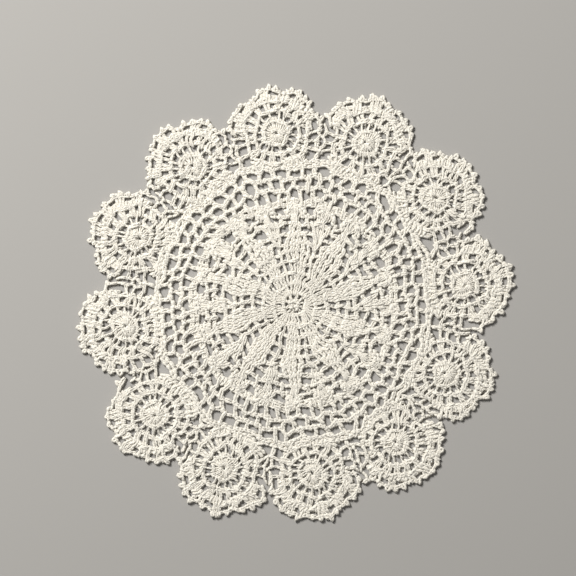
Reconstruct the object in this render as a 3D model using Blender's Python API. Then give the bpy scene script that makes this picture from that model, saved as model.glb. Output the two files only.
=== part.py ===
"""A round lace doily in crochet, lying flat.

A ten-petalled medallion opens into three rounds of chain mesh, and twelve small wheels, each worked
on its own, are joined on around its edge. Metres, +Z up. The origin is at the doily's centre, on its
underside. Gaps over 4 mm are cut through, up to 300 of them, the largest of each repeat first.
"""

import random
from collections import namedtuple
from math import atan2, cos, degrees, pi, radians, sin

import bmesh
import bpy
from mathutils import Vector
from mathutils.geometry import delaunay_2d_cdt

# The cloth
THICKNESS = 0.0024  # two layers of a 1.15 mm thread, where stitches cross
JOIN_GAP = 0.00035  # between pieces that are worked apart and joined by single stitches
UNEVEN = 0.07  # how far a hand-worked gap strays from its size and place, as a share of its size
COTTON = (0.84, 0.79, 0.67, 1.0)
COTTON_ROUGHNESS = 0.85

# The medallion
REPEATS = 10  # petals, and open fans between them
BAND_RADIUS = 0.0974  # outer edge of the band that closes the mesh
BAND_POINTS = 7  # steps along the band from one web to the next
WEB_RADIUS = 0.1072  # how far out the webs between the wheels reach
WEB_MOST_SPAN = 12.0  # degrees from a web's middle within which its side meets the band
WEB_POINTS = 10  # steps over a web
WEB_GAP_RADIUS = 0.1010
WEB_GAP_DEPTH = 0.0050
WEB_RIM = 0.0018  # cloth beside the gap in a web
MESH_GAPS = 60  # in each round of mesh
MESH_GAP_DEPTH = 0.0052

# Gaps in pairs, one on each side of every fan. Angles are degrees: of the first fan, and from a
# fan to its gaps. Width runs along the round and depth across it.
PairRound = namedtuple("PairRound", "radius fan_angle spread width depth")
PAIR_ROUNDS = (
    PairRound(0.0473, 0.2, 7.9, 0.0050, 0.0036),
    PairRound(0.0537, 0.6, 10.3, 0.0074, 0.0042),
    PairRound(0.0657, -0.3, 9.0, 0.0048, 0.0066),
)

MeshRound = namedtuple("MeshRound", "radius first_angle width")
MESH_ROUNDS = (
    MeshRound(0.0770, 0.0, 0.0056),
    MeshRound(0.0854, 3.0, 0.0062),
    MeshRound(0.0925, 0.0, 0.0068),
)

# Low relief: where the stitches stand thickest, by radius, first angle, count and added height
Swell = namedtuple("Swell", "radius first_angle count height")
MEDALLION_SWELLS = (
    Swell(0.0080, 14.0, 10, 0.0002),
    Swell(0.0230, 14.0, 10, 0.0004),
    Swell(0.0400, 15.0, 10, 0.0004),
    Swell(0.0655, 17.7, 20, 0.0005),
)
WHEEL_SWELLS = (
    Swell(0.0000, 0.0, 1, 0.0004),
    Swell(0.0085, 0.0, 8, 0.0003),
    Swell(0.0170, 22.5, 8, 0.0002),
)

# The wheels, as they lie: hand-joined, so neither evenly spaced nor equally far out
Wheel = namedtuple("Wheel", "angle distance")  # degrees from +X, metres from the centre
WHEELS = (
    Wheel(6.9, 0.1204),
    Wheel(37.3, 0.1247),
    Wheel(66.2, 0.1246),
    Wheel(96.2, 0.1218),
    Wheel(126.5, 0.1214),
    Wheel(156.8, 0.1208),
    Wheel(187.4, 0.1208),
    Wheel(218.1, 0.1257),
    Wheel(246.8, 0.1253),
    Wheel(276.0, 0.1199),
    Wheel(306.4, 0.1204),
    Wheel(335.5, 0.1176),
)
MEAN_DISTANCE = sum(wheel.distance for wheel in WHEELS) / len(WHEELS)
SIDE_RADIUS = 0.0312  # of a wheel, where it faces the medallion's webs
SCALLOPS = 8
FIRST_SCALLOP = 8.0  # degrees from straight out, counterclockwise
WEB_CLEARANCE = 0.0035  # how far past a web the scallops begin

# One scallop from its left foot to its right one: three picots with dips between
ScallopPoint = namedtuple("ScallopPoint", "share radius")
SCALLOP = (
    ScallopPoint(0.02, 0.0298),
    ScallopPoint(0.20, 0.0330),
    ScallopPoint(0.34, 0.0320),
    ScallopPoint(0.47, 0.0343),
    ScallopPoint(0.60, 0.0322),
    ScallopPoint(0.76, 0.0333),
    ScallopPoint(0.92, 0.0300),
)

BorderGap = namedtuple("BorderGap", "angle radius width depth")  # degrees from straight out
BORDER_GAPS = (
    BorderGap(-80.0, 0.0282, 0.0046, 0.0042),
    BorderGap(-24.0, 0.0275, 0.0043, 0.0038),
    BorderGap(25.0, 0.0262, 0.0043, 0.0038),
    BorderGap(77.0, 0.0258, 0.0046, 0.0042),
)

TRIANGLES_WITH_HOLES = 2  # the kind of fill that leaves an inner loop open
MERGE = 1e-7  # points of an outline nearer than this are one
TRIM_STEP = 0.00005  # in which a wheel is cut back to what it joins

# A gap's outline, arched as a chain loop pulls it: a share of its half width and half depth
GAP_CORNERS = ((-0.62, -1.0), (0.62, -1.0), (1.0, 0.1), (0.55, 1.0), (-0.55, 1.0), (-1.0, 0.1))


def polar(radius, angle, centre=Vector((0, 0))):
    """The point this far from the centre, in the direction of an angle in degrees."""
    return centre + radius * Vector((cos(radians(angle)), sin(radians(angle))))


def angle_of(point):
    return degrees(atan2(point.y, point.x)) % 360


def wheels_beside(angle):
    """The wheels before and after a direction, and how far it is from the first to the second."""
    after = next((n for n, wheel in enumerate(WHEELS) if wheel.angle > angle % 360), 0)
    before, after = WHEELS[after - 1], WHEELS[after]
    share = ((angle - before.angle) % 360) / ((after.angle - before.angle) % 360)
    return before, after, share


def pull(angle):
    """How much further out than usual the wheels on this side hold the cloth, as a factor."""
    before, after, share = wheels_beside(angle)
    ease = (1 - cos(pi * share)) / 2
    distance = before.distance + (after.distance - before.distance) * ease
    return distance / MEAN_DISTANCE


def laid(radius, angle):
    """A point of the medallion as it lies: the wheels pull its outer rounds out of true."""
    slack = min(radius / BAND_RADIUS, 1) ** 2
    return polar(radius * (1 + (pull(angle) - 1) * slack), angle)


def gap_outline(point, outward, width, depth, dice):
    """A gap between stitches, centred on a point, with its arched side outward (in degrees)."""
    along = polar(1, outward - 90)
    out = polar(1, outward)
    width *= 1 + dice.uniform(-UNEVEN, UNEVEN)
    depth *= 1 + dice.uniform(-UNEVEN, UNEVEN)
    centre = point + dice.uniform(-UNEVEN, UNEVEN) * (width * along + depth * out)
    corners = []
    for across, up in GAP_CORNERS:
        across += dice.uniform(-UNEVEN, UNEVEN)
        up += dice.uniform(-UNEVEN, UNEVEN)
        corners.append(centre + across * width / 2 * along + up * depth / 2 * out)
    return corners


def valleys():
    """The direction of each valley between two wheels."""
    for before, after in zip(WHEELS, WHEELS[1:] + WHEELS[:1]):
        yield before.angle + ((after.angle - before.angle) % 360) / 2


def web_reach(angle):
    """How far out a web can run in this direction before it meets a wheel."""
    direction = polar(1, angle)
    clear = SIDE_RADIUS + JOIN_GAP
    reach = WEB_RADIUS * pull(angle)
    for wheel in WHEELS:
        centre = polar(wheel.distance, wheel.angle)
        nearest = centre.dot(direction)
        miss = (centre - nearest * direction).length
        if nearest > 0 and miss < clear:
            reach = min(reach, nearest - (clear**2 - miss**2) ** 0.5)
    return reach


def web_side(valley, side, radius):
    """The direction, before (-1) or after (1) a valley's middle, in which its web ends at a radius."""
    near, far = 0.0, WEB_MOST_SPAN
    for _ in range(30):
        half = (near + far) / 2
        angle = valley + side * half
        if web_reach(angle) > radius * pull(angle):
            near = half
        else:
            far = half
    return valley + side * near


def medallion_outline():
    """The band's edge, with a web in each of the valleys between the wheels."""
    feet = [[web_side(valley, side, BAND_RADIUS) for side in (-1, 1)] for valley in valleys()]
    outline = []
    for (left, right), (next_left, _) in zip(feet, feet[1:] + feet[:1]):
        for n in range(WEB_POINTS + 1):
            angle = left + (right - left) * n / WEB_POINTS
            outline.append(polar(web_reach(angle), angle))
        along_band = (next_left - right) % 360
        for n in range(1, BAND_POINTS):
            outline.append(laid(BAND_RADIUS, right + along_band * n / BAND_POINTS))
    return outline


def medallion_gaps(dice):
    gaps = []
    for row in PAIR_ROUNDS:
        for repeat in range(REPEATS):
            for side in (-1, 1):
                angle = row.fan_angle + 360 * repeat / REPEATS + side * row.spread
                gaps.append(gap_outline(laid(row.radius, angle), angle, row.width, row.depth, dice))
    for row in MESH_ROUNDS:
        for n in range(MESH_GAPS):
            angle = row.first_angle + 360 * n / MESH_GAPS
            gaps.append(gap_outline(laid(row.radius, angle), angle, row.width, MESH_GAP_DEPTH, dice))
    for valley in valleys():
        left, right = (web_side(valley, side, WEB_GAP_RADIUS) for side in (-1, 1))
        radius = WEB_GAP_RADIUS * pull(valley)
        width = radius * radians(right - left) - 2 * WEB_RIM
        point = polar(radius, (left + right) / 2)
        gaps.append(gap_outline(point, valley, width, WEB_GAP_DEPTH, dice))
    return gaps


def wheel_outline(index):
    """The wheel's scallops where they stand free, cut back to its neighbours and to the band."""
    wheel = WHEELS[index]
    centre = polar(wheel.distance, wheel.angle)
    neighbours = [WHEELS[index - 1], WHEELS[(index + 1) % len(WHEELS)]]

    def free(point):
        """True where a point is clear of the band and on this wheel's side of both joins."""
        if point.length < laid(BAND_RADIUS, angle_of(point)).length + JOIN_GAP:
            return False
        for other in neighbours:
            across = polar(other.distance, other.angle) - centre
            if (point - centre).dot(across.normalized()) > (across.length - JOIN_GAP) / 2:
                return False
        return True

    outline = []
    for scallop in range(SCALLOPS):
        for row in SCALLOP:
            turn = FIRST_SCALLOP + (scallop - 0.5 + row.share) * 360 / SCALLOPS
            direction = polar(1, wheel.angle + turn)
            radius = row.radius
            tip = centre + radius * direction
            if tip.length < WEB_RADIUS * pull(angle_of(tip)) + WEB_CLEARANCE:
                radius = SIDE_RADIUS
            while not free(centre + radius * direction):
                radius -= TRIM_STEP
            outline.append(centre + radius * direction)
    return outline


def wheel_gaps(index, dice):
    wheel = WHEELS[index]
    centre = polar(wheel.distance, wheel.angle)
    gaps = []
    for gap in BORDER_GAPS:
        direction = wheel.angle + gap.angle
        point = polar(gap.radius, direction, centre)
        gaps.append(gap_outline(point, direction, gap.width, gap.depth, dice))
    return gaps


def swells_about(centre, first_angle, rows):
    """Each thick place of a motif, with its height over the plain cloth."""
    found = []
    for row in rows:
        for n in range(row.count):
            angle = first_angle + row.first_angle + 360 * n / row.count
            found.append((polar(row.radius, angle, centre), row.height))
    return found


def cotton(name):
    material = bpy.data.materials.new(name)
    material.use_nodes = True
    shader = material.node_tree.nodes["Principled BSDF"]
    shader.inputs["Base Color"].default_value = COTTON
    shader.inputs["Roughness"].default_value = COTTON_ROUGHNESS
    shader.inputs["Metallic"].default_value = 0.0
    return material


def lace(name, outline, gaps, swells):
    """A flat sheet of crochet: an outline with its gaps cut through and a low relief on top."""
    points, loops = [], []
    for loop in (outline, *gaps):
        loops.append(list(range(len(points), len(points) + len(loop))))
        points += loop
    heights = [0.0] * len(points) + [height for _, height in swells]
    points += [point for point, _ in swells]
    flat, _, faces, origins, _, _ = delaunay_2d_cdt(points, [], loops, TRIANGLES_WITH_HOLES, MERGE)

    mesh = bmesh.new()
    corners = [
        mesh.verts.new((point.x, point.y, THICKNESS + heights[origin[0]]))
        for point, origin in zip(flat, origins)
    ]
    top = [mesh.faces.new([corners[n] for n in face]) for face in faces]
    added = bmesh.ops.extrude_face_region(mesh, geom=top, use_keep_orig=True)["geom"]
    for corner in added:
        if isinstance(corner, bmesh.types.BMVert):
            corner.co.z = 0.0
    bmesh.ops.recalc_face_normals(mesh, faces=mesh.faces)

    data = bpy.data.meshes.new(name)
    mesh.to_mesh(data)
    mesh.free()
    data.materials.append(cotton(f"cotton {name}"))
    piece = bpy.data.objects.new(name, data)
    bpy.context.scene.collection.objects.link(piece)
    return piece


def main():
    for old in list(bpy.data.objects):
        bpy.data.objects.remove(old)
    dice = random.Random(12)
    centre_swells = swells_about(Vector((0, 0)), 0.0, MEDALLION_SWELLS)
    lace("medallion", medallion_outline(), medallion_gaps(dice), centre_swells)
    for index, wheel in enumerate(WHEELS):
        centre = polar(wheel.distance, wheel.angle)
        swells = swells_about(centre, wheel.angle, WHEEL_SWELLS)
        lace(f"wheel_{index + 1:02d}", wheel_outline(index), wheel_gaps(index, dice), swells)


main()
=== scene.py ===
"""The looks of a round lace doily in crochet, worked stitch by stitch.

Every stitch is one to three closed loops of cotton thread, and a chart of rounds says where each
stitch has its foot and its top. The medallion is worked from its centre outward, and the twelve
wheels each on their own. Metres, +Z up, and angles in degrees. The chart's places are those of a
doily that lies true: "laid" then pulls the medallion out as far as the wheels do, and "fitted"
presses each wheel against the ones beside it.
"""

from collections import namedtuple
from math import radians

import bpy
import numpy as np
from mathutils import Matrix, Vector


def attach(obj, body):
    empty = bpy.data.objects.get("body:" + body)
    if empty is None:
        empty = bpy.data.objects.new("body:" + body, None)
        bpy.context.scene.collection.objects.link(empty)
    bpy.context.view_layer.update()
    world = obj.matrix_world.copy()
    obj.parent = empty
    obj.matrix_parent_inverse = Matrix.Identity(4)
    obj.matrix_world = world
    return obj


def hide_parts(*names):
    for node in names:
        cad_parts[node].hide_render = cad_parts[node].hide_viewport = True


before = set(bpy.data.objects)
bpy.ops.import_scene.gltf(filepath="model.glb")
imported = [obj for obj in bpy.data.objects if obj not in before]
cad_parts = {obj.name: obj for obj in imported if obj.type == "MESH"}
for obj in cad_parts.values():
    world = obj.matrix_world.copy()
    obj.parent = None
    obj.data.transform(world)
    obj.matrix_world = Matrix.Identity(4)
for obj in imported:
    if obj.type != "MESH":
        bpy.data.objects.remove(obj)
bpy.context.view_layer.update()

# The thread
SIDES = 6  # of the tube that a strand is drawn as
MIDDLE = 0.00128  # height at which the thread's middle lies
LIFT = 0.00034  # how far a strand rises or dips where it crosses another
LEAST_RADIUS = 0.0006  # of a strand, however narrow its stitch
LEAST_HALF = 0.0001  # from a stitch's middle line to the middle of its strands
PLIES = 3
PLY_LENGTH = 0.0020  # of thread from one ply to the next

# Stitches
LINK = 0.0031  # length of one chain stitch
CHAIN_WIDTH = 0.0034
TOPS_WIDTH = 0.0034  # of the tops that a closed round shows
TOPS_LEVEL = -0.0003  # how high they lie, from the height of other stitches
FOOT_REACH = 0.0012  # how far a post reaches over the stitches below it
TOP_REACH = 0.0009  # and into the tops above it
SHORTEST_POST = 0.0042  # under this a stitch has no thread round it
STRAND_STRAY = 0.00004  # of a strand's points, in each direction
STITCH_STRAY = 0.00016  # of a stitch's foot and top
WIDTH_STRAY = 0.05  # as a share of the width
LEVEL_STRAY = {  # of the height of a whole stitch
    "link": 0.0001,
    "top": 0.0003,
    "picot": 0.0001,
    "solid": 0.0002,
    "tall": 0.0001,
    "short": 0.0001,
}

# The wheels, as they lie: hand-joined, so neither evenly spaced nor equally far out. Pull and
# next_pull say how far out the medallion's outer rounds lie, as a factor, at a wheel and in the
# valley after it, and web is what fills that valley.
Wheel = namedtuple("Wheel", "angle distance pull next_pull web")
WHEELS = (
    Wheel(6.9, 0.1204, 0.965, 1.007, "open"),
    Wheel(37.3, 0.1247, 0.997, 1.038, "fork"),
    Wheel(66.2, 0.1246, 1.010, 1.032, "column"),
    Wheel(96.2, 0.1218, 0.996, 1.032, "column"),
    Wheel(126.5, 0.1214, 0.994, 1.002, "open"),
    Wheel(156.8, 0.1208, 0.994, 0.997, "column"),
    Wheel(187.4, 0.1208, 0.973, 1.013, "open"),
    Wheel(218.1, 0.1257, 0.997, 1.033, "fork"),
    Wheel(246.8, 0.1253, 1.004, 1.021, "column"),
    Wheel(276.0, 0.1199, 0.975, 1.010, "column"),
    Wheel(306.4, 0.1204, 0.992, 0.994, "open"),
    Wheel(335.5, 0.1176, 0.950, 0.973, "column"),
)
BAND_RADIUS = 0.0960  # of the medallion's last round, where the pull is 1
SLACK_POWER = 2.5  # how fast the pull grows from the centre to the band


def polar(radius, angle):
    """Points at these radii and angles, as rows of x and y."""
    turn = np.radians(angle)
    return np.stack(np.broadcast_arrays(radius * np.cos(turn), radius * np.sin(turn)), -1)


def to_polar(points):
    """The radii and angles of points that are rows of x and y."""
    x, y = points[..., 0], points[..., 1]
    return np.hypot(x, y), np.degrees(np.arctan2(y, x))


def turn_from_out(angle):
    """How far a direction is from straight out, to either side."""
    return np.abs((angle + 180) % 360 - 180)


def smooth(share):
    """A share from 0 to 1 that leaves the one slowly and nears the other slowly."""
    return share * share * (3 - 2 * share)


def eased(angle, angles, values):
    """Values at any angle, with an easy run from one to the next of those given round the circle."""
    places = np.concatenate([angles - 360, angles, angles + 360])
    values = np.tile(values, 3)
    place = np.interp(np.asarray(angle) % 360, places, np.arange(len(places)))
    low = np.floor(place).astype(int)
    step = values[np.minimum(low + 1, len(values) - 1)] - values[low]
    return values[low] + step * smooth(place - low)


def valley_after(index):
    """The angle halfway from a wheel to the next."""
    here, after = WHEELS[index].angle, WHEELS[(index + 1) % len(WHEELS)].angle
    return here + (after - here) % 360 / 2


PULL_ANGLES = np.array([
    angle for index, row in enumerate(WHEELS) for angle in (row.angle, valley_after(index))
])
PULLS = np.array([pull for row in WHEELS for pull in (row.pull, row.next_pull)])


def band(angle):
    """The radius of the medallion's last round on this side, as it lies."""
    return BAND_RADIUS * eased(angle, PULL_ANGLES, PULLS)


def as_worked(points):
    """Points whose places are already those in which they lie."""
    return points


def laid(points):
    """The medallion's points as they lie: the wheels hold its outer rounds out of true."""
    radius, angle = to_polar(points)
    slack = np.minimum(radius / BAND_RADIUS, 1) ** SLACK_POWER
    return points * (1 + (band(angle) / BAND_RADIUS - 1) * slack)[..., None]


# ---------------------------------------------------------------------------------------------
# Stitches. Each is one to three closed loops of thread, and a point of a loop is given in shares:
# along from foot to top, across in halves of the stitch's width, and up in LIFTs.
# ---------------------------------------------------------------------------------------------


def mirrored(side):
    """A loop from the points of its one side, the first and last of them on its middle line."""
    side = np.array(side)
    return np.vstack([side, (side * (1, -1, 1))[-2:0:-1]])


def twisted_loop(points, turns, start, tip):
    """Two strands that turn about each other from foot to top, closed at both ends."""
    share = np.linspace(0, 1, points)
    turn = np.pi * (start + 2 * turns * share)
    along, spread, rise = tip + (1 - 2 * tip) * share, np.cos(turn), np.sin(turn)
    up = np.stack([along, spread, rise], -1)
    down = np.stack([along, -spread, -rise], -1)[::-1]
    return np.vstack([up, down])


def leaning(loop, lean):
    """A loop with its one side further along than its other."""
    return loop + np.outer(loop[:, 1], (lean, 0, 0))


# The loops of a chain stitch, of the tops that close a round, and of a picot
LINK_LOOP = mirrored([
    (-0.15, 0.00, -0.9),
    (0.10, 0.70, 0.2),
    (0.45, 1.00, 1.4),
    (0.85, 0.70, -0.1),
    (1.05, 0.00, -1.4),
])
TOP_LOOP = mirrored([
    (-0.15, 0.00, -0.9),
    (0.10, 0.80, 0.2),
    (0.45, 1.00, 1.0),
    (0.85, 0.80, -0.1),
    (1.05, 0.00, -1.0),
])
PICOT_LOOP = mirrored([
    (0.00, 0.00, -0.6),
    (0.06, 0.70, -0.2),
    (0.34, 1.00, 0.6),
    (0.72, 0.85, 0.5),
    (1.00, 0.00, 0.0),
])

# The two loops of a solid post, from its foot to its top
LOWER_LOOP = mirrored([
    (-0.09, 0.00, -0.9),
    (0.04, 0.80, -0.4),
    (0.25, 1.00, 0.3),
    (0.46, 0.66, 0.8),
    (0.56, 0.00, 0.9),
])
UPPER_LOOP = mirrored([
    (0.44, 0.00, -0.7),
    (0.54, 0.66, -0.3),
    (0.76, 1.00, 0.3),
    (0.97, 0.80, 0.7),
    (1.09, 0.00, 0.9),
])

# The three loops of a tall post, from its foot to its top
FIRST_LOOP = mirrored([
    (-0.08, 0.00, -0.5),
    (0.04, 0.85, 0.3),
    (0.17, 1.00, 1.0),
    (0.31, 0.75, 0.3),
    (0.38, 0.00, -0.5),
])
SECOND_LOOP = mirrored([
    (0.28, 0.00, -0.5),
    (0.36, 0.75, 0.3),
    (0.49, 1.00, 1.0),
    (0.62, 0.75, 0.3),
    (0.70, 0.00, -0.5),
])
THIRD_LOOP = mirrored([
    (0.61, 0.00, -0.5),
    (0.68, 0.75, 0.3),
    (0.82, 1.00, 1.0),
    (0.98, 0.85, 0.3),
    (1.08, 0.00, -0.5),
])

# One loop of a stitch, and its radius as a share of the stitch's width
Strand = namedtuple("Strand", "loop radius")
STITCHES = {
    "link": (Strand(leaning(LINK_LOOP, 0.8), 0.27),),
    "top": (Strand(leaning(TOP_LOOP, 0.6), 0.25),),
    "picot": (Strand(PICOT_LOOP, 0.27),),
    "solid": (
        Strand(leaning(LOWER_LOOP, 0.22), 0.25),
        Strand(leaning(UPPER_LOOP, 0.22), 0.25),
    ),
    "tall": tuple(
        Strand(leaning(loop, 0.1), 0.28) for loop in (FIRST_LOOP, SECOND_LOOP, THIRD_LOOP)
    ),
    "short": (Strand(twisted_loop(points=5, turns=0.5, start=-0.15, tip=-0.04), 0.30),),
}

# A round of posts: how many, their width or their widths at foot and top, how far each strays to a
# side, and how much further round its top is than its foot, both in degrees
Posts = namedtuple("Posts", "count widths stray lean")


class Work:
    """The stitches of one piece while it is being worked.

    A row holds a stitch's foot, its top, its width at both, and its level.
    """

    def __init__(self, seed):
        self.rows = {kind: [] for kind in STITCHES}
        self.dice = np.random.default_rng(seed)

    def stitch(self, kind, foot, top, width, level=0.0):
        """One stitch, of one width or of two at its foot and its top."""
        widths = width if isinstance(width, tuple) else (width, width)
        self.rows[kind].append((*foot, *top, *widths, level))

    def chain(self, path, width=CHAIN_WIDTH, closed=False, level=0.0, kind="link"):
        """Chain stitches end to end along a path of many points."""
        if closed:
            path = np.vstack([path, path[:1]])
        steps = np.hypot(*np.diff(path, axis=0).T)
        run = np.concatenate([[0], np.cumsum(steps)])
        count = max(int(round(run[-1] / LINK)), 1)
        at = np.linspace(0, run[-1], count + 1)
        joints = np.stack([np.interp(at, run, path[:, 0]), np.interp(at, run, path[:, 1])], -1)
        for foot, top in zip(joints[:-1], joints[1:]):
            self.stitch(kind, foot, top, width, level)

    def post(self, foot, top, width, kind="solid"):
        """A post from one ring to the next, which reaches into both."""
        foot, top = np.asarray(foot), np.asarray(top)
        length = np.hypot(*(top - foot))
        unit = (top - foot) / length
        kind = kind if length > SHORTEST_POST else "short"
        self.stitch(kind, foot - FOOT_REACH * unit, top + TOP_REACH * unit, width)

    def angles(self, row, first=0.0):
        """The angles of a round of posts. Those that don't stray cost no throw of the dice."""
        for n in range(row.count):
            angle = first + 360 * n / row.count
            yield angle + self.dice.normal(0, row.stray) if row.stray else angle

    def posts(self, row, inner, outer, first=0.0):
        """A whole round of posts from one ring to the next."""
        for angle in self.angles(row, first):
            self.post(inner.at(angle), outer.at(angle + row.lean), row.widths)

    def tops(self, ring, level=TOPS_LEVEL):
        """The tops of a round's posts, one after another along its ring."""
        self.chain(ring.path(), TOPS_WIDTH, closed=True, level=level, kind="top")

    def loops(self):
        """Every loop as a row of points with their radius, grouped by how many points a loop has."""
        groups = {}
        for kind, rows in self.rows.items():
            if not rows:
                continue
            rows = np.array(rows)
            rows[:, 0:4] += self.dice.normal(0, STITCH_STRAY, (len(rows), 4))
            rows[:, 4:6] *= self.dice.normal(1, WIDTH_STRAY, (len(rows), 1))
            rows[:, 6] += self.dice.normal(0, LEVEL_STRAY[kind], len(rows))
            foot, top, widths = rows[:, None, 0:2], rows[:, None, 2:4], rows[:, None, 4:6]
            along = top - foot
            length = np.linalg.norm(along, axis=-1, keepdims=True)
            across = np.stack([-along[..., 1], along[..., 0]], -1) / length
            for shape, thickness in STITCHES[kind]:
                radius = np.maximum(widths.mean(-1, keepdims=True) * thickness, LEAST_RADIUS)
                share = shape[:, 0:1]
                width = widths[..., 0:1] * (1 - share) + widths[..., 1:2] * share
                half = np.maximum(width / 2 - radius, LEAST_HALF)
                flat = foot + along * share + across * half * shape[:, 1:2]
                height = MIDDLE + rows[:, None, 6:7] + LIFT * shape[:, 2:3]
                points = np.concatenate([flat, np.broadcast_to(height, flat.shape[:2] + (1,))], -1)
                points = points + self.dice.normal(0, STRAND_STRAY, points.shape)
                radius = np.broadcast_to(radius, points.shape[:2] + (1,))
                groups.setdefault(len(shape), []).append(np.concatenate([points, radius], -1))
        return [np.concatenate(found) for found in groups.values()]


# A round of the work: its radius, at how many knots that is given, and how far it strays at each
Round = namedtuple("Round", "radius knots stray")
RING_POINTS = 720  # of a round's path
START_POINTS = 40  # of the path of a first, small round


class Ring:
    """A closed round of the work: a radius that varies with the angle.

    Its first knot is at the angle "first", and it lies further out and in by turns, by "wave".
    """

    def __init__(self, row, dice, first=0.0, wave=0.0):
        knots = np.arange(row.knots)
        stray = dice.normal(0, row.stray, row.knots)
        self.angles = first + 360 * knots / row.knots
        self.radii = row.radius + wave * np.cos(np.pi * knots) + stray

    def at(self, angle, out=0.0):
        """The ring's points at these angles, or points so far outside it."""
        return polar(eased(angle, self.angles, self.radii) + out, angle)

    def path(self, points=RING_POINTS):
        """The whole ring, without its first point again at the end."""
        return self.at(np.linspace(0, 360, points, endpoint=False))


# ---------------------------------------------------------------------------------------------
# The medallion's chart
# ---------------------------------------------------------------------------------------------

# A round of petals. A petal fills these angles to each side of its middle, at its foot and at its
# top, and the fan between two petals is given post by post as foot and top angle.
PetalRound = namedtuple("PetalRound", "top fan_angle posts foot_half top_half fan_width fan")
PETAL_ROUNDS = (
    PetalRound(0.0155, -1.5, 4, 16.0, 16.0, 0.0, ()),
    PetalRound(0.0229, -3.5, 4, 13.2, 12.2, 0.0022, ((0.0, 0.0),)),
    PetalRound(0.0300, -3.8, 5, 12.0, 11.9, 0.0025, ((0.0, 0.0),)),
    PetalRound(0.0374, -3.7, 5, 11.8, 11.7, 0.0029, ((0.0, 0.0),)),
    PetalRound(0.0441, -2.6, 5, 11.8, 11.4, 0.0033, ((-0.4, 0.0),)),
    PetalRound(0.0505, -1.0, 4, 10.2, 6.8, 0.0032, ((-1.2, -2.9), (0.6, 2.9))),
    PetalRound(
        0.0572, -0.2, 3, 5.6, 3.9, 0.0032, ((-2.4, -5.0), (-0.9, -1.8), (0.9, 1.8), (2.4, 5.0))
    ),
)
PETALS = 10
PETAL_TURN = 360 / PETALS
PETAL_OVERLAP = 1.06  # of the posts of a petal, as a factor on their width
PETAL_KNOTS = 40
PETAL_STRAY = 0.00025  # of the radius of a round of petals
FAN_STRAY = 0.2  # degrees to a side, of a fan's posts
START_ROUND = Round(0.0024, 20, 0.0)
FIRST_ROUND = Round(0.0085, 20, 0.00015)
FIRST_POSTS = Posts(PETALS, (0.0018, 0.0027), 1.5, 1.0)
FIRST_POST = 6.0  # angle of the first of them


def petals(work):
    """The rounds of solid petals and open fans, from the centre out. Returns the last ring."""
    inner = Ring(START_ROUND, work.dice)
    work.chain(inner.path(START_POINTS), closed=True)
    ring = Ring(FIRST_ROUND, work.dice)
    work.posts(FIRST_POSTS, inner, ring, FIRST_POST)
    work.tops(ring)
    for row in PETAL_ROUNDS:
        outer = Ring(Round(row.top, PETAL_KNOTS, PETAL_STRAY), work.dice, row.fan_angle)
        foot_pitch, top_pitch = 2 * row.foot_half / row.posts, 2 * row.top_half / row.posts
        for repeat in range(PETALS):
            fan = row.fan_angle + PETAL_TURN * repeat
            petal = fan + PETAL_TURN / 2
            for n in range(row.posts):
                place = n - (row.posts - 1) / 2
                foot, top = ring.at(petal + place * foot_pitch), outer.at(petal + place * top_pitch)
                widths = (
                    PETAL_OVERLAP * radians(foot_pitch) * np.hypot(*foot),
                    PETAL_OVERLAP * radians(top_pitch) * np.hypot(*top),
                )
                work.post(foot, top, widths, kind="tall")
            for foot, top in row.fan:
                foot = fan + foot + work.dice.normal(0, FAN_STRAY)
                top = fan + top + work.dice.normal(0, FAN_STRAY)
                work.post(ring.at(foot), outer.at(top), row.fan_width)
        work.tops(outer)
        ring = outer
    return ring


# Round shells, each with an arc of chain over its posts
SHELLS = 20
SHELL_TURN = 360 / SHELLS
FIRST_SHELL = 17.7  # its angle
SHELL_CENTRE = 0.0646
SHELL_RADIUS = 0.0038
SHELL_POSTS = (-74, -37, 0, 37, 74)  # where they point, in degrees from straight out
SHELL_POST_WIDTH = 0.0027
SHELL_FOOT_OUT = 0.0004  # from the round below
SHELL_FOOT_PITCH = 0.0006  # from foot to foot of its posts
SHELL_ARC = np.linspace(-105, 105, 30)
SHELL_CAP = 0.0006  # from the tops of the posts to the arc over them
SIZE_STRAY = 0.05  # as a share of a shell's radius
CENTRE_STRAY = 0.0003

# The long arc round each shell, the ties from it to the dense rounds, and the post between two
OUTER_CENTRE = 0.0650
OUTER_RADIUS = 0.0062
OUTER_ARC = np.linspace(-118, 118, 40)
TIE_TURNS = (-2.2, 2.2)
TIE_SPREAD = 1.5  # how much further to the side a tie ends, as a factor
TIE_WIDTH = 0.0026
BETWEEN_TOP = 0.0626
BETWEEN_WIDTH = 0.0034

# The two dense rounds, the first of them a little further out at each shell
FIRST_DENSE = Round(0.0706, 2 * SHELLS, 0.0002)
FIRST_DENSE_WAVE = 0.0002
SECOND_DENSE = Round(0.0734, 60, 0.0003)
SECOND_DENSE_POSTS = Posts(120, 0.0025, 0.3, 0.6)


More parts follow.
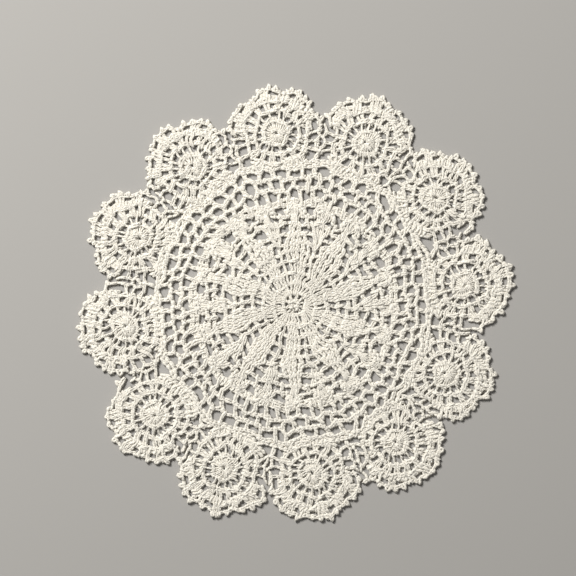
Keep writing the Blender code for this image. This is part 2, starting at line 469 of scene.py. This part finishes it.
def shells(work, ring):
    """Twenty round shells between arcs of chain, and the two dense rounds outside them."""
    first = Ring(FIRST_DENSE, work.dice, FIRST_SHELL, FIRST_DENSE_WAVE)
    second = Ring(SECOND_DENSE, work.dice)
    wave = []
    for shell in range(SHELLS):
        angle = FIRST_SHELL + SHELL_TURN * shell
        along = polar(1, angle - 90)
        size = 1 + work.dice.normal(0, SIZE_STRAY)
        centre = polar(SHELL_CENTRE, angle) + work.dice.normal(0, CENTRE_STRAY, 2)
        for n, turn in enumerate(SHELL_POSTS):
            place = n - (len(SHELL_POSTS) - 1) / 2
            foot = ring.at(angle, SHELL_FOOT_OUT) + place * SHELL_FOOT_PITCH * along
            work.post(foot, centre + polar(SHELL_RADIUS * size, angle - turn), SHELL_POST_WIDTH)
        work.chain(centre + polar((SHELL_RADIUS + SHELL_CAP) * size, angle - SHELL_ARC))
        wave.append(polar(OUTER_CENTRE, angle) + polar(OUTER_RADIUS, angle + OUTER_ARC))
        between = angle + SHELL_TURN / 2
        work.post(ring.at(between), polar(BETWEEN_TOP, between), BETWEEN_WIDTH)
        for turn in TIE_TURNS:
            foot = polar(OUTER_CENTRE + OUTER_RADIUS, angle + turn)
            work.post(foot, first.at(angle + turn * TIE_SPREAD), TIE_WIDTH)
    work.chain(np.vstack(wave), closed=True)
    work.tops(first)
    work.posts(SECOND_DENSE_POSTS, first, second)
    work.tops(second)
    return second


# A round of mesh: posts, and bars of chain that arch outward by so much between them
MeshRound = namedtuple("MeshRound", "top first_post arch")
MESH_ROUNDS = (
    MeshRound(0.0813, 3.0, 0.0007),
    MeshRound(0.0886, 0.0, 0.0007),
    MeshRound(0.0960, 3.0, 0.0003),
)
MESH_POSTS = 60
MESH_POST_WIDTHS = (0.0032, 0.0042)
MESH_CHAIN_WIDTH = 0.0036
MESH_STRAY = 0.0007  # of a round's radius
MESH_SLANT = 0.3  # degrees from a post's middle to its foot and to its top
MESH_POST_STRAY = 0.6  # and how far each of them strays


def mesh_rounds(work, ring):
    """Posts with a bar of chain from one to the next, each post in the middle of a bar below."""
    for row in MESH_ROUNDS:
        knots = Round(row.top, 2 * MESH_POSTS, MESH_STRAY)
        outer = Ring(knots, work.dice, row.first_post, -row.arch)
        for n in range(MESH_POSTS):
            angle = row.first_post + 360 * n / MESH_POSTS
            foot = angle + work.dice.normal(-MESH_SLANT, MESH_POST_STRAY)
            top = angle + work.dice.normal(MESH_SLANT, MESH_POST_STRAY)
            work.post(ring.at(foot), outer.at(top), MESH_POST_WIDTHS)
        work.chain(outer.path(), MESH_CHAIN_WIDTH, closed=True)
        ring = outer


# What fills a valley between two wheels, in metres clockwise from its middle and out from the band:
# legs that stand on a second row of chain and lean to a knot, from which a post reaches the joint
Web = namedtuple("Web", "legs knot_aside knot_out joint")
WEBS = {
    "column": Web((0.0004,), 0.0002, 0.0066, 0.0099),
    "fork": Web((-0.0054, 0.0050), -0.0002, 0.0080, 0.0114),
    "open": Web((0.0036,), 0.0026, 0.0062, 0.0094),
}
WEB_ROW = np.linspace(-0.0125, 0.0125, 30)  # the second row of chain, from end to end
WEB_OUT = 0.0030  # and how far out it lies
ROW_WIDTH = 0.0036
LEG_WIDTH = 0.0026
KNOT_WIDTH = 0.0034  # of the post from the knot to the joint


def web(work, index):
    """The stitches that fill the valley after a wheel."""
    valley = valley_after(index)
    shape = WEBS[WHEELS[index].web]

    def beside(along, out):
        """A place in the valley, along the band from its middle and out from the band."""
        angle = valley - np.degrees(along / BAND_RADIUS)
        return polar(band(angle) + out, angle)

    work.chain(beside(WEB_ROW, WEB_OUT), ROW_WIDTH)
    knot = beside(shape.knot_aside, shape.knot_out)
    for leg in shape.legs:
        work.post(beside(leg, WEB_OUT), knot, LEG_WIDTH)
    middle, _, outward = meeting(index)
    work.post(knot, middle + joint_start(index) * outward, KNOT_WIDTH)


# ---------------------------------------------------------------------------------------------
# The wheels' chart: angles from straight out, counterclockwise
# ---------------------------------------------------------------------------------------------

# A wheel's rounds from the centre out, and the posts between each and the next
WHEEL_START = Round(0.0033, 16, 0.0)
WHEEL_START_WIDTH = 0.0026
HUB = Round(0.0087, 16, 0.0002)
HUB_POSTS = Posts(28, (0.0009, 0.0020), 0.0, 2.0)
SPOKES = Round(0.0158, 16, 0.0002)
SPOKE_POSTS = Posts(16, (0.0017, 0.0020), 1.5, 2.0)
RIM = Round(0.0228, 32, 0.0002)
PAIRS = Posts(16, (0.0024, 0.0031), 0.8, 0.5)  # so many pairs
PAIR_HALF = 3.6  # degrees from a pair's middle to each of its posts
PAIR_STRAY = 0.5  # and how far each of them strays
DENSE = Round(0.0254, 32, 0.0002)
DENSE_POSTS = Posts(48, 0.0030, 1.0, 1.0)
DENSE_POINTS = 200

# Its scalloped edge, whose angles are given from the middle of a scallop
SCALLOPS = 7
SCALLOP_TURN = 360 / SCALLOPS
SCALLOP_ARC = np.linspace(-SCALLOP_TURN / 2, SCALLOP_TURN / 2, 60)
LEAST_ARC = 5  # points of it that are worth working
FIRST_SCALLOP = 10.5  # angle of its middle
EDGE_VALLEY = 0.0289
EDGE_RADIUS = 0.0313
EDGE_WIDTH = 0.0030
EDGE_POSTS = (-20.4, -5.3, 0.0, 5.3, 20.4, 25.7)  # with an eyelet over each gap between pairs
EDGE_LEAN = 0.5  # how much further round their tops are
PICOTS = (-16.2, -5.4, 5.3, 16.0)
PICOT_FOOT = 0.0002  # from the edge
PICOT_HEIGHT = 0.0027
PICOT_WIDTHS = (0.0046, 0.0032)
PICOT_TURN_STRAY = 0.6
PICOT_HEIGHT_STRAY = 0.12  # as a share of the height
PICOT_TIP_STRAY = 0.0003

# What changes from straight out to straight in, in degrees from straight out
FREE_ANGLE = 86.0  # further round than this, a wheel is joined
INNER_ANGLE = 138.0  # and further than this it lies along the band
OPEN_FROM, OPEN_TO = 86.0, 135.0  # between these the joint takes the place of the dense round
BORDER_FROM, BORDER_TO = 128.0, 100.0  # and between these the border grows
INNER_EDGE = 0.0276  # the radius of its edge along the band
INNER_ARC = np.linspace(INNER_ANGLE, 360 - INNER_ANGLE, 60)

# How a wheel is pressed and drawn to lie against what it joins: only outside this radius, and at
# most by these factors at so many degrees from straight out
PRESSED_FROM = 0.0110
Stretch = namedtuple("Stretch", "angle most")
STRETCHES = (
    Stretch(62, 1.03),
    Stretch(79, 1.12),
    Stretch(98, 1.05),
    Stretch(126, 1.08),
    Stretch(150, 1.04),
    Stretch(168, 1.15),
)
JOIN_GAP = 0.0024  # from the middle of an edge to the line on which two wheels meet
BAND_GAP = 0.0012  # and to the band
LEAST_TOWARDS = 0.1  # the least share of a reach that counts as towards a neighbour
BAND_STEPS = 3  # in finding where a reach meets the band

# The joint between two wheels: posts of each reach arcs of chain that touch the other's. In metres
# outward, from post to post, and from the point halfway between the wheels' centres to the end.
JOINT_PITCH = 0.0074
JOINT_END = 0.0085
JOINT_POINTS = 60
TOUCH = 0.0012  # from the line of the joint to the middle of an arc where it touches the other
APART = 0.0032  # and at a post
JOINT_WIDTH = 0.0027


def centre_of(index):
    """The centre of a wheel. After the last comes the first."""
    row = WHEELS[index % len(WHEELS)]
    return polar(row.distance, row.angle)


def meeting(index):
    """The point halfway to the next wheel, and the directions to that wheel and outward."""
    here, there = centre_of(index), centre_of(index + 1)
    across = (there - here) / np.hypot(*(there - here))
    return (here + there) / 2, across, np.array((across[1], -across[0]))


def border(angle):
    """How much of its full depth a wheel's border has in these directions, from 0 to 1."""
    return smooth(np.clip((BORDER_FROM - turn_from_out(angle)) / (BORDER_FROM - BORDER_TO), 0, 1))


def room(index, angle):
    """How far a wheel can reach in these directions before it meets its neighbours or the band."""
    centre = centre_of(index)
    outward = polar(1, angle)
    reach = np.ones(np.shape(angle))
    for other in (index - 1, index + 1):
        across = centre_of(other) - centre
        apart = np.hypot(*across)
        towards = np.maximum(outward @ across / apart, LEAST_TOWARDS)
        reach = np.minimum(reach, (apart / 2 - JOIN_GAP) / towards)

    # A reach comes nearest to the doily's centre at "ahead", and "miss" is the square of how near
    ahead = -(outward @ centre)
    miss = centre @ centre - ahead ** 2
    edge = band(WHEELS[index].angle)
    for _ in range(BAND_STEPS):
        hit = ahead - np.sqrt(np.maximum(edge ** 2 - miss, 0))
        edge = band(to_polar(centre + outward * hit[..., None])[1])
    return np.where((edge ** 2 > miss) & (ahead > 0), np.minimum(reach, hit - BAND_GAP), reach)


def fitted(index, points):
    """A wheel's points in their place, pressed against its neighbours and the band."""
    radius, angle = to_polar(points)
    world = angle + WHEELS[index].angle
    full = INNER_EDGE + (EDGE_RADIUS - INNER_EDGE) * border(angle)
    most = np.interp(turn_from_out(angle), *zip(*STRETCHES))
    stretch = np.minimum((room(index, world) - PRESSED_FROM) / (full - PRESSED_FROM), most)
    pressed = PRESSED_FROM + (radius - PRESSED_FROM) * stretch
    return centre_of(index) + polar(np.where(radius > PRESSED_FROM, pressed, radius), world)


def joint_start(index):
    """How far a joint's first post is outward from the point halfway between the wheels' centres."""
    return band(valley_after(index)) + WEBS[WHEELS[index].web].joint - np.hypot(*meeting(index)[0])


def joint(work, index):
    """The arcs and posts by which a wheel and the next are joined."""
    middle, across, outward = meeting(index)
    first = joint_start(index)

    def off(run):
        """How far from the line of the joint the arcs lie."""
        wave = 0.5 + 0.5 * np.cos(2 * np.pi * (run - first) / JOINT_PITCH)
        return TOUCH + (APART - TOUCH) * wave * np.clip((run - first) / JOINT_PITCH, 0, 1)

    run = np.linspace(first, JOINT_END, JOINT_POINTS)
    for side, joined in ((-1, index), (1, (index + 1) % len(WHEELS))):
        arcs = middle + run[:, None] * outward + side * off(run)[:, None] * across
        work.chain(arcs, JOINT_WIDTH)
        for place in np.arange(first, JOINT_END, JOINT_PITCH):
            top = middle + place * outward + side * off(place) * across
            angle = to_polar(top - centre_of(joined))[1] - WHEELS[joined].angle
            work.post(fitted(joined, polar(RIM.radius, angle)), top, JOINT_WIDTH)


def wheel_hub(work):
    """The solid centre and the spokes round it. Returns the ring that closes them."""
    start, hub, spokes = (Ring(row, work.dice) for row in (WHEEL_START, HUB, SPOKES))
    work.chain(start.path(START_POINTS), WHEEL_START_WIDTH, closed=True)
    turn = work.dice.uniform(0, 360)
    work.posts(HUB_POSTS, start, hub, turn)
    work.posts(SPOKE_POSTS, hub, spokes, turn)
    work.tops(hub, level=0.0)
    work.tops(spokes, level=0.0)
    return spokes


def wheel_rounds(work, spokes):
    """Outside the spokes: the pairs of posts and the rim, which is returned."""
    rim = Ring(RIM, work.dice)
    for middle in work.angles(PAIRS, FIRST_SCALLOP):
        for side in (-1, 1):
            angle = middle + side * PAIR_HALF + work.dice.normal(0, PAIR_STRAY)
            work.post(spokes.at(angle), rim.at(angle + PAIRS.lean), PAIRS.widths)
    work.tops(rim, level=0.0)
    return rim


def edge(turn):
    """The radius of the scalloped edge, so many degrees from the middle of a scallop."""
    rise = np.cos(turn / (SCALLOP_TURN / 2) * np.pi / 2)
    return EDGE_VALLEY + (EDGE_RADIUS - EDGE_VALLEY) * rise


def wheel_border(work, rim):
    """A dense round, and then the scalloped edge with eyelets inside it and picots on it."""
    dense = Ring(DENSE, work.dice)
    for angle in work.angles(DENSE_POSTS):
        if not OPEN_FROM < turn_from_out(angle) < OPEN_TO:
            work.post(rim.at(angle), dense.at(angle + DENSE_POSTS.lean), DENSE_POSTS.widths)
    for start, end in ((-OPEN_FROM, OPEN_FROM), (OPEN_TO, 360 - OPEN_TO)):
        path = dense.at(np.linspace(start, end, DENSE_POINTS))
        work.chain(path, TOPS_WIDTH, level=TOPS_LEVEL, kind="top")
    for scallop in range(SCALLOPS):
        middle = (FIRST_SCALLOP + SCALLOP_TURN * scallop + 180) % 360 - 180
        free = SCALLOP_ARC[np.abs(middle + SCALLOP_ARC) < FREE_ANGLE]
        if len(free) >= LEAST_ARC:
            work.chain(polar(edge(free), middle + free), EDGE_WIDTH)
        for at in EDGE_POSTS:
            if abs(middle + at) < FREE_ANGLE:
                top = polar(edge(at), middle + at + EDGE_LEAN)
                work.post(dense.at(middle + at), top, EDGE_WIDTH)
        for at in PICOTS:
            angle = middle + at + work.dice.normal(0, PICOT_TURN_STRAY)
            if abs(angle) > FREE_ANGLE:
                continue
            height = PICOT_HEIGHT * (1 + work.dice.normal(0, PICOT_HEIGHT_STRAY))
            tip = polar(edge(at) + height, angle) + work.dice.normal(0, PICOT_TIP_STRAY, 2)
            work.stitch("picot", polar(edge(at) + PICOT_FOOT, angle), tip, PICOT_WIDTHS)
    work.chain(polar(INNER_EDGE, INNER_ARC), EDGE_WIDTH)


# ---------------------------------------------------------------------------------------------
# Thread into mesh
# ---------------------------------------------------------------------------------------------
STRIP_GAP = 0.0001  # between strips of the map for baking
STRIP_ROOM = 1.03  # side of its square, as a factor on what the strips would fill
FIBRE_STARTS = 60  # places along the fibre's pattern where a loop may start


def normal_of(vectors):
    """Vectors of the same directions and of length 1."""
    return vectors / np.linalg.norm(vectors, axis=-1, keepdims=True)


def tube_rings(loops):
    """Rings of points around closed loops, with a frame carried along so that nothing twists."""
    centres, radius = loops[..., :3], loops[:, :, None, 3:]
    tangents = normal_of(np.roll(centres, -1, 1) - np.roll(centres, 1, 1))
    count = centres.shape[1]
    side = normal_of(np.cross(tangents[:, 0], (0.0, 0.0, 1.0)))
    sides = [side]
    for n in range(1, count + 1):
        tangent = tangents[:, n % count]
        side = normal_of(side - (side * tangent).sum(-1, keepdims=True) * tangent)
        sides.append(side)
    gap = np.arctan2(
        (np.cross(sides[-1], sides[0]) * tangents[:, 0]).sum(-1),
        (sides[-1] * sides[0]).sum(-1),
    )
    sides = np.stack(sides[:-1], 1)
    other = np.cross(tangents, sides)
    turn = gap[:, None, None] * (np.arange(count) / count)[:, None]
    turn = (turn + 2 * np.pi * np.arange(SIDES) / SIDES)[..., None]
    outward = np.cos(turn) * sides[:, :, None] + np.sin(turn) * other[:, :, None]
    return centres[:, :, None] + radius * outward


def packed(lengths, girths):
    """Where each loop's strip starts when all lie in rows in a square, and the square's side."""
    side = STRIP_ROOM * np.sqrt((lengths * girths).sum())
    starts = np.zeros((len(lengths), 2))
    across, up, tallest = 0.0, 0.0, 0.0
    for n in np.argsort(-girths, kind="stable"):
        if across + lengths[n] > side:
            across, up, tallest = 0.0, up + tallest, 0.0
        starts[n] = across, up
        across += lengths[n]
        tallest = max(tallest, girths[n])
    return starts, max(side, up + tallest)


def corner_values(at_ring):
    """Values at a loop's rings, the first ring again as the last, for each face's four corners."""
    return np.stack([at_ring[:, :-1], at_ring[:, 1:], at_ring[:, 1:], at_ring[:, :-1]], -1)


def mesh_piece(name, points, faces, maps):
    """A new piece of smooth quads, with maps that are given corner by corner."""
    mesh = bpy.data.meshes.new(name)
    mesh.vertices.add(len(points))
    mesh.vertices.foreach_set("co", points.astype(np.float32).ravel())
    mesh.loops.add(faces.size)
    mesh.loops.foreach_set("vertex_index", faces.astype(np.int32).ravel())
    mesh.polygons.add(len(faces))
    mesh.polygons.foreach_set("loop_start", np.arange(0, faces.size, 4, dtype=np.int32))
    mesh.polygons.foreach_set("use_smooth", np.ones(len(faces), bool))
    for title, corners in maps.items():
        uv = mesh.uv_layers.new(name=title)
        uv.data.foreach_set("uv", corners.astype(np.float32).ravel())
    mesh.update()
    mesh.validate()
    piece = bpy.data.objects.new(name, mesh)
    bpy.context.scene.collection.objects.link(piece)
    return piece


def thread_piece(name, groups):
    """A piece of closed tubes, with a map along the thread and a second one for baking."""
    points, faces, thread_map, places, lengths, girths = [], [], [], [], [], []
    start = 0
    dice = np.random.default_rng(len(name))
    for tubes in groups:
        rings = tube_rings(tubes)
        centres = tubes[..., :3]
        loops, count = centres.shape[:2]
        index = start + np.arange(loops * count * SIDES).reshape(loops, count, SIDES)
        start += index.size
        points.append(rings.reshape(-1, 3))
        quads = np.stack([
            index,
            np.roll(index, -1, 1),
            np.roll(np.roll(index, -1, 1), -1, 2),
            np.roll(index, -1, 2),
        ], -1)
        faces.append(quads.reshape(-1, 4))
        steps = np.linalg.norm(np.roll(centres, -1, 1) - centres, axis=-1)
        run = np.concatenate([np.zeros((loops, 1)), np.cumsum(steps, 1)], 1)
        length = run[:, -1:]
        plies = run / length * np.round(length / PLY_LENGTH)
        plies = plies + dice.integers(0, FIBRE_STARTS, (loops, 1))
        around = np.array([(side, side, side + 1, side + 1) for side in range(SIDES)]) / SIDES
        around = np.broadcast_to(around, quads.shape)
        for values, found in ((plies, thread_map), (run, places)):
            along = np.broadcast_to(corner_values(values)[:, :, None], quads.shape)
            found.append(np.stack([along, around], -1).reshape(loops, -1, 2))
        lengths.append(length[:, 0])
        girths.append(2 * np.pi * tubes[:, 0, 3])
    lengths, girths = np.concatenate(lengths), np.concatenate(girths)
    starts, side = packed(lengths + STRIP_GAP, girths + STRIP_GAP)
    done = 0
    for place in places:
        these = slice(done, done + len(place))
        place[..., 1] *= girths[these, None]
        place += starts[these, None]
        done += len(place)
    thread_map, places = (
        np.concatenate([part.reshape(-1, 2) for part in parts]) for parts in (thread_map, places)
    )
    maps = {"thread": thread_map, "OFBake": places / side}
    return mesh_piece(name, np.vstack(points), np.vstack(faces), maps)


# ---------------------------------------------------------------------------------------------
# Material
# ---------------------------------------------------------------------------------------------
COTTON = (0.79, 0.75, 0.66, 1.0)
PAINTED_GROOVE_SHADE = (0.52, 0.46, 0.36, 1.0)  # painted shade: a darker colour given to the grooves between the plies, where shade falls
GROOVE_SHADE_RANGE = (0.15, 0.85)  # heights on a ply, from the painted groove shade's full share to none of it
GROOVE_SHADE_SHARE = 0.5
PLY_DEPTH = 0.00012
PLY_ROUNDNESS = 0.6  # the power of a wave that shapes a ply
FIBRE_TURNS = 7.0  # of the fibres' pattern across a ply
FIBRE_RUN = 0.8  # and along it, in ply lengths
FIBRE_DETAIL = 3.0
FIBRE_RELIEF = 0.22  # as a share of a ply's depth
FUZZ_SCALE = 2600.0
FUZZ_DETAIL = 2.0
FUZZ_RELIEF = 0.10
NOISE_RANGE = (0.3, 0.7)  # of a noise's values, which seldom lie outside it
FIBRE_TINT = (0.95, 1.03)
ROUGHNESS = (0.78, 0.92)
SHEEN = 0.15
SHEEN_ROUGHNESS = 0.5
SPECULAR = 0.3

# How the cotton's tone is uneven over the work: a noise, and the tints at its ends
Tone = namedtuple("Tone", "scale detail dark light")
TONES = (
    Tone(26.0, 3.0, 0.965, 1.02),
    Tone(110.0, 2.0, 0.98, 1.01),
)


class Nodes:
    """The nodes of one material, made and linked in one line each."""

    def __init__(self, material):
        material.use_nodes = True
        self.tree = material.node_tree
        self.shader = self.tree.nodes["Principled BSDF"]

    def make(self, kind, inputs=(), **settings):
        """A node. Its inputs go by name or place, each with a value or with what it is linked to."""
        node = self.tree.nodes.new(kind)
        for name, value in settings.items():
            setattr(node, name, value)
        for name, value in dict(inputs).items():
            if isinstance(value, bpy.types.NodeSocket):
                self.tree.links.new(value, node.inputs[name])
            else:
                node.inputs[name].default_value = value
        return node

    def math(self, operation, *values):
        return self.make("ShaderNodeMath", enumerate(values), operation=operation).outputs[0]

    def noise(self, vector, scale, detail):
        inputs = {"Vector": vector, "Scale": scale, "Detail": detail}
        return self.make("ShaderNodeTexNoise", inputs).outputs["Fac"]

    def between(self, value, low, high, to_low, to_high):
        """A value mapped from one range to another, and held inside it."""
        inputs = {
            "Value": value,
            "From Min": low,
            "From Max": high,
            "To Min": to_low,
            "To Max": to_high,
        }
        return self.make("ShaderNodeMapRange", inputs).outputs["Result"]

    def mixed(self, share, first, second, blend="MIX"):
        inputs = {0: share, 6: first, 7: second}  # a mix of colours has its sockets at these places
        return self.make("ShaderNodeMix", inputs, data_type="RGBA", blend_type=blend).outputs[2]

    def into(self, name, value):
        """What an input of the shader is linked to."""
        self.tree.links.new(value, self.shader.inputs[name])


def cotton():
    """Cotton, three plies twisted together, with fibres that run along each ply, and painted shade
    in the grooves between the plies.
    """
    material = bpy.data.materials.new("cotton thread")
    nodes = Nodes(material)
    thread = nodes.make("ShaderNodeUVMap", uv_map="thread").outputs["UV"]
    parts = nodes.make("ShaderNodeSeparateXYZ", {"Vector": thread})
    along, around = parts.outputs["X"], parts.outputs["Y"]
    place = nodes.make("ShaderNodeTexCoord").outputs["Object"]

    ply = nodes.math("MULTIPLY_ADD", around, PLIES, along)
    wave = nodes.math("ABSOLUTE", nodes.math("SINE", nodes.math("MULTIPLY", ply, np.pi)))
    crown = nodes.math("POWER", wave, PLY_ROUNDNESS)
    across = nodes.math("MULTIPLY", ply, FIBRE_TURNS)
    run = nodes.math("MULTIPLY", nodes.math("SUBTRACT", along, around), FIBRE_RUN)
    fibre_place = nodes.make("ShaderNodeCombineXYZ", {"X": across, "Y": run}).outputs["Vector"]
    fibre = nodes.noise(fibre_place, 1.0, FIBRE_DETAIL)
    fuzz = nodes.noise(place, FUZZ_SCALE, FUZZ_DETAIL)

    height = nodes.math("MULTIPLY_ADD", fibre, FIBRE_RELIEF, crown)
    height = nodes.math("MULTIPLY_ADD", fuzz, FUZZ_RELIEF, height)
    bump = nodes.make("ShaderNodeBump", {"Height": height, "Distance": PLY_DEPTH, "Strength": 1.0})
    nodes.into("Normal", bump.outputs["Normal"])

    # Painted shade: where a ply's crown falls low, in the grooves between plies, the colour is mixed
    # up to halfway towards the darker groove-shade colour.
    shade = nodes.between(crown, *GROOVE_SHADE_RANGE, GROOVE_SHADE_SHARE, 0.0)
    colour = nodes.mixed(shade, COTTON, PAINTED_GROOVE_SHADE)
    tint = nodes.between(fibre, *NOISE_RANGE, *FIBRE_TINT)
    for row in TONES:
        noise = nodes.noise(place, row.scale, row.detail)
        tone = nodes.between(noise, *NOISE_RANGE, row.dark, row.light)
        tint = nodes.math("MULTIPLY", tint, tone)
    grey = nodes.make("ShaderNodeCombineColor", {"Red": tint, "Green": tint, "Blue": tint})
    nodes.into("Base Color", nodes.mixed(1.0, colour, grey.outputs["Color"], "MULTIPLY"))
    nodes.into("Roughness", nodes.between(fibre, *NOISE_RANGE, *ROUGHNESS))
    nodes.shader.inputs["Sheen Weight"].default_value = SHEEN
    nodes.shader.inputs["Sheen Roughness"].default_value = SHEEN_ROUGHNESS
    nodes.shader.inputs["Specular IOR Level"].default_value = SPECULAR
    return material


def plain(name, colour, roughness):
    """A material of one colour."""
    material = bpy.data.materials.new(name)
    material.use_nodes = True
    shader = material.node_tree.nodes["Principled BSDF"]
    shader.inputs["Base Color"].default_value = colour
    shader.inputs["Roughness"].default_value = roughness
    return material


# ---------------------------------------------------------------------------------------------
# Studio
# ---------------------------------------------------------------------------------------------
PHOTO_WIDTH = 576  # pixels
PIXEL = 0.000706  # metres of the doily's plane for one pixel of the photograph
VIEW_CENTRE = (-0.0048, 0.0121)
CAMERA_HEIGHT = 1.2
SENSOR = 36  # millimetres
FLOOR_SIZE = 4
FLOOR_COLOUR = (0.36, 0.345, 0.32, 1)
FLOOR_ROUGHNESS = 0.9
WORLD_STRENGTH = 0.11

# Square lamps, each turned to the middle of the doily. Metres and watts.
Lamp = namedtuple("Lamp", "name place size power")
LAMPS = (
    Lamp("key", (-1.12, 1.34, 1.56), 0.70, 84),
    Lamp("fill", (1.6, -0.8, 1.8), 1.8, 7),
)


def studio():
    """The floor, the camera of the photograph, the lamps and the room's even light."""
    bpy.ops.mesh.primitive_plane_add(size=FLOOR_SIZE)
    floor = bpy.context.object
    floor.name = "floor"
    floor.data.materials.append(plain("floor", FLOOR_COLOUR, FLOOR_ROUGHNESS))

    data = bpy.data.cameras.new("camera")
    data.sensor_width = SENSOR
    data.lens = SENSOR * CAMERA_HEIGHT / (PHOTO_WIDTH * PIXEL)
    camera = bpy.data.objects.new("camera", data)
    camera.location = (*VIEW_CENTRE, CAMERA_HEIGHT)
    bpy.context.scene.collection.objects.link(camera)
    bpy.context.scene.camera = camera

    for row in LAMPS:
        light = bpy.data.lights.new(row.name, "AREA")
        light.size = row.size
        light.energy = row.power
        lamp = bpy.data.objects.new(row.name, light)
        lamp.location = row.place
        lamp.rotation_euler = (-Vector(row.place)).to_track_quat("-Z", "Y").to_euler()
        bpy.context.scene.collection.objects.link(lamp)

    bpy.context.scene.view_settings.view_transform = "Standard"
    world = bpy.data.worlds.new("studio")
    bpy.context.scene.world = world
    world.use_nodes = True
    background = world.node_tree.nodes["Background"]
    background.inputs["Color"].default_value = (1, 1, 1, 1)
    background.inputs["Strength"].default_value = WORLD_STRENGTH


# ---------------------------------------------------------------------------------------------
# The doily
# ---------------------------------------------------------------------------------------------
UNEVEN_WAVES = 14
UNEVEN_SIZE = 0.00030  # how far each of them moves the thread
UNEVEN_LENGTHS = (0.008, 0.035)  # of the shortest wave and the longest
SETTLE_DICE = np.random.default_rng(7)
WAVES = [
    (
        2 * np.pi / SETTLE_DICE.uniform(*UNEVEN_LENGTHS) * polar(1, SETTLE_DICE.uniform(0, 360)),
        SETTLE_DICE.uniform(0, 2 * np.pi, 2),
    )
    for _ in range(UNEVEN_WAVES)
]


def uneven(points):
    """Points strayed as hand work strays, a little and together."""
    shift = np.zeros(points.shape)
    for wave, phase in WAVES:
        shift += np.sin((points @ wave)[..., None] + phase)
    return points + UNEVEN_SIZE * shift


def settle(groups, place):
    """Every loop where it comes to lie, none of it below the surface."""
    found = []
    for tubes in groups:
        flat = uneven(place(tubes[..., :2]))
        height = np.maximum(tubes[..., 2:3], tubes[..., 3:])
        found.append(np.concatenate([flat, height, tubes[..., 3:]], -1))
    return found


yarn = cotton()

# A motif's flat size, and the area inside its outline, its gaps included
Flat = namedtuple("Flat", "width length area")


def dress(name, node, *parts):
    """A piece of the finished thread, which stands for a solid or for a part of one.

    Its parts are each some work and what brings it to its place.
    """
    tubes = [group for work, place in parts for group in settle(work.loops(), place)]
    piece = thread_piece(name, tubes)
    piece.data.materials.append(yarn)
    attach(piece, "root")
    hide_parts(node)
    return piece


def medallion():
    """The centre, worked in rounds up to the band, and the webs outside it."""
    centre, middle, outside, valleys = (Work(seed) for seed in (1, 2, 3, 4))
    mesh_rounds(outside, shells(middle, petals(centre)))
    for valley in range(len(WHEELS)):
        web(valleys, valley)
    pieces = [
        dress("medallion_petals", "medallion", (centre, laid)),
        dress("medallion_shells", "medallion", (middle, laid)),
        dress("medallion_mesh", "medallion", (outside, laid), (valleys, as_worked)),
    ]


def wheel(index):
    """A wheel, and the stitches that join it to the next."""
    node = f"wheel_{index + 1:02d}"
    hub, rounds, edge, joins = (Work(100 * n + index) for n in (1, 2, 3, 4))
    wheel_border(edge, wheel_rounds(rounds, wheel_hub(hub)))
    joint(joins, index)

    def place(points):
        return fitted(index, points)

    pieces = [
        dress(node + "_rounds", node, (rounds, place)),
        dress(node + "_hub", node, (hub, place)),
        dress(node + "_border", node, (edge, place), (joins, as_worked)),
    ]


medallion()
for index in range(len(WHEELS)):
    wheel(index)
studio()
